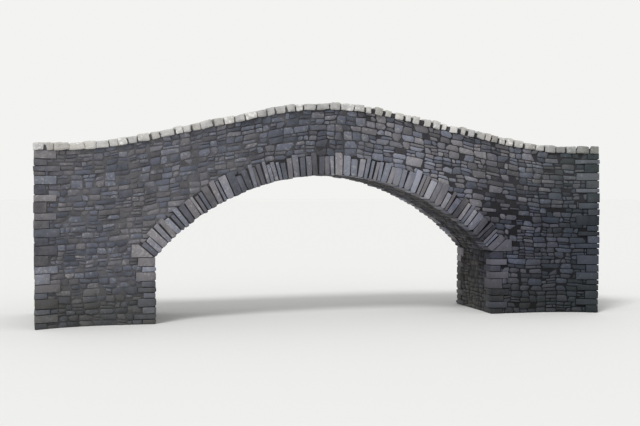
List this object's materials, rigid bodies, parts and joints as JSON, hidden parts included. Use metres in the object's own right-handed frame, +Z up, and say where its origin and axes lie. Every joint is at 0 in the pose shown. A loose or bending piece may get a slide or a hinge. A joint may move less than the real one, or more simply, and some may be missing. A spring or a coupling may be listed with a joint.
{
  "type": "packhorse bridge",
  "caption": "Small humped footbridge of rubble stone: a segmental arch between two abutments, with parapets, coping, pitched paving and flared wing walls.",
  "frame": {"origin": "on the stream bed under the middle of the arch, at the middle of the base", "axes": "+X along the roadway to the right of the picture's view, +Y across the bridge to the back face, +Z up"},
  "size_m": [12.8, 3.0034, 4.81],
  "materials": {
    "face_rubble": "random rubble of thin flat grey stones, damp lime joints",
    "arch_stone": "rough long grey arch stones, set on edge",
    "vault_stone": "rough damp soffit stones with dark joints",
    "coping_stone": "rough flat stones, weathered and pale with lichen",
    "pitched_paving": "worn pitched paving, earth in the joints",
    "core_fill": "packed rubble and earth"
  },
  "bodies": {
    "root": {"left_abutment": "face_rubble", "right_abutment": "face_rubble", "left_haunch_barrel": "vault_stone", "crown_barrel": "vault_stone", "right_haunch_barrel": "vault_stone", "front_left_haunch_ring": "arch_stone", "front_crown_ring": "arch_stone", "front_right_haunch_ring": "arch_stone", "back_left_haunch_ring": "arch_stone", "back_crown_ring": "arch_stone", "back_right_haunch_ring": "arch_stone", "front_left_spandrel": "face_rubble", "front_right_spandrel": "face_rubble", "back_left_spandrel": "face_rubble", "back_right_spandrel": "face_rubble", "left_spandrel_fill": "core_fill", "right_spandrel_fill": "core_fill", "front_left_wing_wall": "face_rubble", "front_right_wing_wall": "face_rubble", "back_left_wing_wall": "face_rubble", "back_right_wing_wall": "face_rubble", "left_approach_fill": "core_fill", "right_approach_fill": "core_fill", "crown_paving": "pitched_paving", "left_approach_paving": "pitched_paving", "right_approach_paving": "pitched_paving", "front_parapet": "face_rubble", "back_parapet": "face_rubble", "front_left_wing_parapet": "face_rubble", "front_right_wing_parapet": "face_rubble", "back_left_wing_parapet": "face_rubble", "back_right_wing_parapet": "face_rubble", "front_coping": "coping_stone", "back_coping": "coping_stone", "front_left_wing_coping": "coping_stone", "front_right_wing_coping": "coping_stone", "back_left_wing_coping": "coping_stone", "back_right_wing_coping": "coping_stone"}
  },
  "joints": []
}
